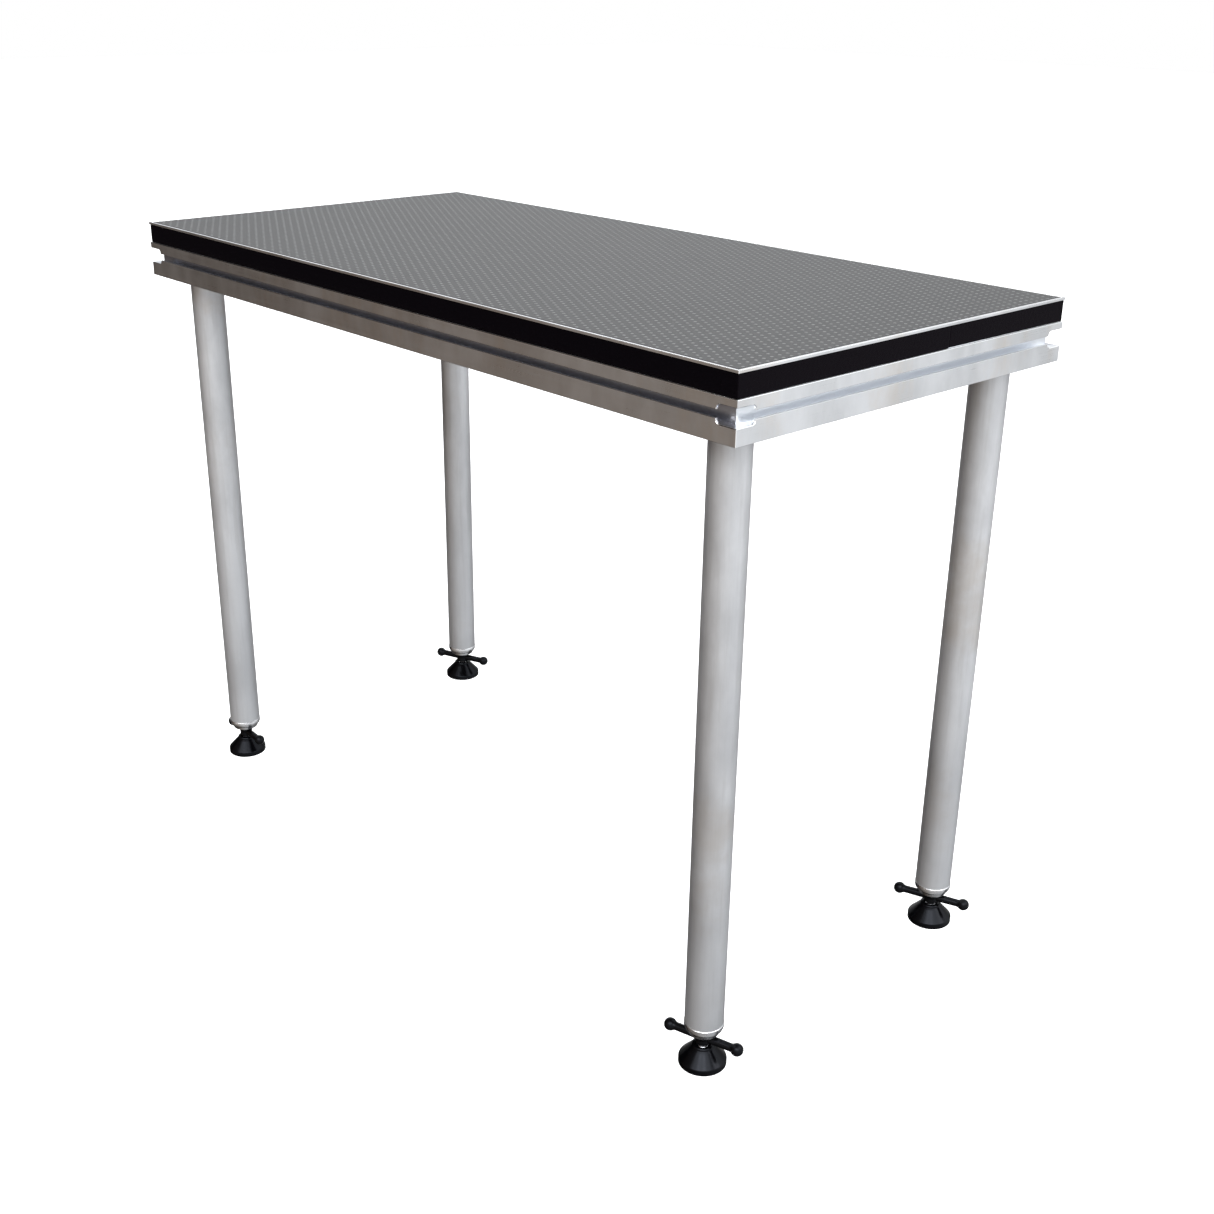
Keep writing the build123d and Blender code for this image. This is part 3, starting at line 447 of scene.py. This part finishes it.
def pile_tape():
    """Loop tape as a closed strip with a tufted face and slightly uneven edges."""
    low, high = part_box("loop_tape")
    verts, faces = [], []
    for x, y, facing, distance in tape_stations(high.x - TAPE_THICKNESS, high.y - TAPE_THICKNESS):
        wander = noise.noise(Vector((distance * 14.0, 3.0, 0.0))) * TAPE_WANDER
        trim = TAPE_TRIM * max(0.0, 1.0 - distance / TAPE_TRIM_FADE)
        bottom = low.z + TAPE_BOTTOM_TRIM + trim + wander * 0.6
        top = high.z - TAPE_TOP_TRIM + wander * 0.5
        for row in range(TAPE_ROWS + 1):
            z = bottom + (top - bottom) * row / TAPE_ROWS
            reach = TAPE_THICKNESS * (0.7 if row in (0, TAPE_ROWS) else 0.95)
            reach += noise.noise(Vector((x, y, z)) * 260.0) * TAPE_LUMPS
            reach += random.uniform(-TAPE_TUFTS, TAPE_TUFTS)
            verts.append((x + reach * math.cos(facing), y + reach * math.sin(facing), z))
        verts.append((x, y, top))
        verts.append((x, y, bottom))
    ring = TAPE_ROWS + 3
    columns = len(verts) // ring
    for column in range(columns - 1):
        for row in range(ring):
            a = column * ring + row
            b = column * ring + (row + 1) % ring
            faces.append((a, a + ring, b + ring, b))
    faces.append(tuple(range(ring)))
    faces.append(tuple(reversed(range((columns - 1) * ring, columns * ring))))
    piece = new_piece("pile_tape", verts, faces, loop_pile(), "deck")
    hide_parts("loop_tape")


# ---------------------------------------------------------------- spindle threads
SPINDLE_SIDES = 32
THREAD_PITCH = 4.0 * MM
THREAD_STEPS = 8  # rings in one pitch
THREAD_CREST = 7.95 * MM
THREAD_ROOT = 6.8 * MM
THREAD_LOW = 57.5 * MM
THREAD_HIGH = 176.0 * MM
FLANK_SLOPE = 3.4  # share of the thread's depth per turn, either side of the groove's middle
GROOVE_FLAT = 0.3  # taken off that depth, which leaves the groove's bottom flat
SPINDLE_BELOW = (  # radius and height below the thread, in mm
    (6.6, 11.45),
    (7.0, 11.85),
    (7.0, 14.45),
    (5.0, 14.45),
    (5.0, 32.55),
    (7.5, 32.55),
    (7.5, 56.8),
)
SPINDLE_ABOVE = ((7.2, 176.6), (6.0, 178.0))


def threaded_spindle(corner, metal):
    """The spindle with a real trapezoidal thread wound round it."""
    name = f"spindle_{corner}"
    low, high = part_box(name)
    x = (low.x + high.x) / 2
    y = (low.y + high.y) / 2
    rings = [[(radius * MM, z * MM)] * SPINDLE_SIDES for radius, z in SPINDLE_BELOW]
    count = round((THREAD_HIGH - THREAD_LOW) / THREAD_PITCH * THREAD_STEPS)
    for index in range(count + 1):
        z = THREAD_LOW + (THREAD_HIGH - THREAD_LOW) * index / count
        ring = []
        for side in range(SPINDLE_SIDES):
            phase = (z / THREAD_PITCH - side / SPINDLE_SIDES) % 1.0
            rise = min(1.0, max(0.0, FLANK_SLOPE * abs(phase - 0.5) - GROOVE_FLAT))
            ring.append((THREAD_ROOT + (THREAD_CREST - THREAD_ROOT) * rise, z))
        rings.append(ring)
    rings += [[(radius * MM, z * MM)] * SPINDLE_SIDES for radius, z in SPINDLE_ABOVE]

    verts, faces = [], []
    for ring in rings:
        for side, (radius, z) in enumerate(ring):
            turn = 2 * math.pi * side / SPINDLE_SIDES
            verts.append((x + radius * math.cos(turn), y + radius * math.sin(turn), z))
    for index in range(len(rings) - 1):
        for side in range(SPINDLE_SIDES):
            a = index * SPINDLE_SIDES + side
            b = index * SPINDLE_SIDES + (side + 1) % SPINDLE_SIDES
            faces.append((a, b, b + SPINDLE_SIDES, a + SPINDLE_SIDES))
    faces.append(tuple(reversed(range(SPINDLE_SIDES))))
    faces.append(tuple(range(len(verts) - SPINDLE_SIDES, len(verts))))
    piece = new_piece(f"threaded_spindle_{corner}", verts, faces, metal, name, smooth=False)
    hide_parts(name)


# ---------------------------------------------------------------- light, floor and camera
NEUTRAL = (1.0, 1.0, 1.0)
WARM = (1.0, 0.90, 0.82)
BROWN = (1.0, 0.76, 0.60)
COOL = (0.94, 0.97, 1.0)
CAMERA_PLACE = (1.952, -1.689, 1.542)
CAMERA_YAW = 0.82155
CAMERA_PITCH = 0.39465
CAMERA_ROLL = 0.0141
CAMERA_LENS = 44.86


def add_camera():
    camera = bpy.data.objects.new("camera", bpy.data.cameras.new("camera"))
    camera.data.lens = CAMERA_LENS
    camera.data.sensor_width = 36.0
    camera.data.clip_end = 100.0
    turn = Matrix.Rotation(CAMERA_YAW, 4, "Z") @ Matrix.Rotation(math.pi / 2 - CAMERA_PITCH, 4, "X")
    camera.matrix_world = Matrix.Translation(CAMERA_PLACE) @ turn @ Matrix.Rotation(CAMERA_ROLL, 4, "Z")
    bpy.context.scene.collection.objects.link(camera)
    bpy.context.scene.camera = camera


# Studio light by compass bearing, anticlockwise from +X in degrees: bearing, brightness, colour
BEARINGS = (
    (-180, 0.05, NEUTRAL),
    (-166, 0.01, NEUTRAL),
    (-154, 0.01, NEUTRAL),
    (-147, 0.12, BROWN),
    (-141, 0.22, BROWN),
    (-133, 0.24, WARM),
    (-103, 0.44, WARM),
    (-48, 0.90, NEUTRAL),
    (8, 1.00, COOL),
    (42, 1.10, COOL),
    (54, 0.78, COOL),
    (68, 0.56, COOL),
    (90, 0.36, NEUTRAL),
    (140, 0.48, NEUTRAL),
    (165, 0.16, NEUTRAL),
)
# and by height: sine of the elevation, share of the brightness
HEIGHTS = (
    (-1.0, 0.50),
    (-0.85, 0.42),
    (-0.62, 0.30),
    (-0.5, 0.60),
    (-0.33, 1.0),
    (0.0, 1.05),
    (0.45, 0.95),
    (1.0, 1.1),
)
# Bright panes: direction, cosines where the pane starts and where it is full, brightness
PANES = (
    ((0.13, -0.74, 0.66), 0.93, 0.985, 3.0),
    ((0.48, -0.57, 0.66), 0.93, 0.985, 4.2),
    ((0.70, -0.26, 0.66), 0.93, 0.985, 3.0),
    ((0.42, 0.60, 0.68), 0.75, 0.96, 0.8),
    ((-0.74, 0.56, 0.37), 0.80, 0.97, 0.75),
)


STUDIO_STRENGTH = 1.1
RAMP_FULL = 1.1  # a ramp holds nothing above 1, so heights are stored as shares of this


def add_world():
    """A studio that is white to the camera, bright on the right and dim on the left for all else."""
    world = bpy.data.worlds.new("studio")
    bpy.context.scene.world = world
    world.use_nodes = True
    tree = world.node_tree
    tree.nodes.clear()

    def node(kind, inputs=None, **settings):
        made = tree.nodes.new(kind)
        for key, value in settings.items():
            setattr(made, key, value)
        for key, value in (inputs or {}).items():
            if isinstance(value, bpy.types.NodeSocket):
                tree.links.new(value, made.inputs[key])
            else:
                made.inputs[key].default_value = value
        return made

    def ramp(position, stops):
        """A colour ramp over stops of (place from 0 to 1, colour)."""
        made = node("ShaderNodeValToRGB", {"Fac": position})
        made.color_ramp.interpolation = "EASE"
        elements = made.color_ramp.elements
        while len(elements) < len(stops):
            elements.new(1.0)
        for element, (place, color) in zip(elements, stops):
            element.position = place
            element.color = (*color, 1.0)
        return made.outputs["Color"]

    direction = node("ShaderNodeTexCoord").outputs["Generated"]
    axis = node("ShaderNodeSeparateXYZ", {0: direction}).outputs
    turn = node("ShaderNodeMath", {0: axis["Y"], 1: axis["X"]}, operation="ARCTAN2").outputs[0]
    share = 1 / (2 * math.pi)
    around = node("ShaderNodeMath", {0: turn, 1: share, 2: 0.5}, operation="MULTIPLY_ADD").outputs[0]
    level = node("ShaderNodeMath", {0: axis["Z"], 1: 0.5, 2: 0.5}, operation="MULTIPLY_ADD").outputs[0]
    by_bearing = ramp(around, [(b / 360 + 0.5, [v * c for c in tint]) for b, v, tint in BEARINGS])
    by_height = ramp(level, [((z + 1) / 2, (v / RAMP_FULL,) * 3) for z, v in HEIGHTS])
    light = node("ShaderNodeVectorMath", {0: by_bearing, 1: by_height}, operation="MULTIPLY").outputs[0]
    for toward, start, full, brightness in PANES:
        middle = Vector(toward).normalized()
        facing = node("ShaderNodeVectorMath", {0: direction, 1: middle}, operation="DOT_PRODUCT")
        window = node(
            "ShaderNodeMapRange",
            {"Value": facing.outputs["Value"], "From Min": start, "From Max": full, "To Max": brightness},
            interpolation_type="SMOOTHSTEP",
        ).outputs["Result"]
        pane = node("ShaderNodeVectorMath", {0: COOL, "Scale": window}, operation="SCALE").outputs[0]
        light = node("ShaderNodeVectorMath", {0: light, 1: pane}, operation="ADD").outputs[0]

    lit = node("ShaderNodeBackground", {"Color": light, "Strength": STUDIO_STRENGTH})
    seen = node("ShaderNodeBackground", {"Color": (1.0, 1.0, 1.0, 1.0)})
    path = node("ShaderNodeLightPath")
    to_camera = path.outputs["Is Camera Ray"]
    mix = node("ShaderNodeMixShader", {"Fac": to_camera, 1: lit.outputs[0], 2: seen.outputs[0]})
    node("ShaderNodeOutputWorld", {"Surface": mix.outputs[0]})


def add_light(name, place, target, width, height, power):
    data = bpy.data.lights.new(name, "AREA")
    data.shape = "RECTANGLE"
    data.size = width
    data.size_y = height
    data.energy = power
    light = bpy.data.objects.new(name, data)
    light.location = place
    light.rotation_euler = (Vector(target) - Vector(place)).to_track_quat("-Z", "Y").to_euler()
    bpy.context.scene.collection.objects.link(light)


def add_lights():
    add_light("key", (3.2, 1.2, 2.6), (0, 0, 0.9), 1.6, 2.2, 30)
    add_light("top", (-0.6, 0.4, 3.6), (0, 0, 1.0), 2.4, 1.6, 30)


FLOOR_DROP = 0.16
FLOOR_REACH = 30.0


def add_floor():
    """A pale floor that only the camera sees, below the reach of legs and feet that are let down."""
    mesh = bpy.data.meshes.new("floor")
    signs = ((-1, -1), (1, -1), (1, 1), (-1, 1))
    mesh.from_pydata([(x * FLOOR_REACH, y * FLOOR_REACH, 0) for x, y in signs], [], [(0, 1, 2, 3)])
    floor = bpy.data.objects.new("floor", mesh)
    bpy.context.scene.collection.objects.link(floor)
    floor.location.z = -FLOOR_DROP
    paint = Paint("floor_paint", (0.9, 0.9, 0.9), 0.9)
    paint.set("Specular IOR Level", 0.0)
    paint.set("Emission Color", (1, 1, 1, 1))
    paint.set("Emission Strength", 0.55)
    mesh.materials.append(paint.material)
    floor.visible_glossy = False
    floor.visible_diffuse = False


# ---------------------------------------------------------------- putting it together
def dress_frame():
    # the slot colours are painted light: darker bluish for painted shade in the long rails' slots,
    # lighter for painted brightness in the short rails' slots
    long_rails = extruded_aluminium("rail_metal_x", "x", (0.53, 0.54, 0.59))
    short_rails = extruded_aluminium("rail_metal_y", "y", (0.87, 0.89, 0.92))
    dress(long_rails, "rail_front", "rail_back", "brace_brackets")
    dress(short_rails, "rail_left", "rail_right", "cross_brace_left", "cross_brace_right")
    dress(board_faces(), "deck_board")
    dress(rubber("seal_rubber"), "board_seal", *per_corner("foot_pad"))
    dress(cast_aluminium(), "corner_cleats", *per_corner("leg_socket"))
    dress(plated_steel("plated_steel"), "board_screws", "cleat_screws", "socket_bolts", "brace_bolts")


def dress_legs():
    dress(drawn_tube(), *per_corner("leg_tube"))
    bright = turned_metal("turned_aluminium", (0.88, 0.88, 0.89), 0.25, 0.25 * MM)
    brass = turned_metal("turned_brass", (0.72, 0.50, 0.20), 0.24, 0.3 * MM)
    dress(bright, *per_corner("end_cap"))
    dress(brass, *per_corner("spindle_nut"), *per_corner("clamp_pad"))
    dress(polished_steel(), *per_corner("swivel_ball"))
    handle_nylon = moulded_plastic("handle_nylon", (0.0015, 0.0015, 0.0018), 0.3, 1500.0, 0.16)
    knob_plastic = moulded_plastic("knob_plastic", (0.008, 0.008, 0.009), 0.4, 1200.0, 0.4)
    foot_nylon = moulded_plastic("foot_nylon", (0.0010, 0.0010, 0.0014), 0.2, 1800.0, 0.16)
    dress(handle_nylon, *per_corner("t_handle"))
    dress(knob_plastic, *per_corner("clamp_screw"))
    dress(foot_nylon, *per_corner("foot_base"))


bpy.context.scene.view_settings.view_transform = "Standard"
random.seed(4)
dress_frame()
dress_legs()
grip_dots()
pile_tape()
spindle_steel = plated_steel("spindle_steel", (0.5, 0.5, 0.52), 0.28)
for corner in CORNERS:
    threaded_spindle(corner, spindle_steel)
add_camera()
add_world()
add_lights()
add_floor()
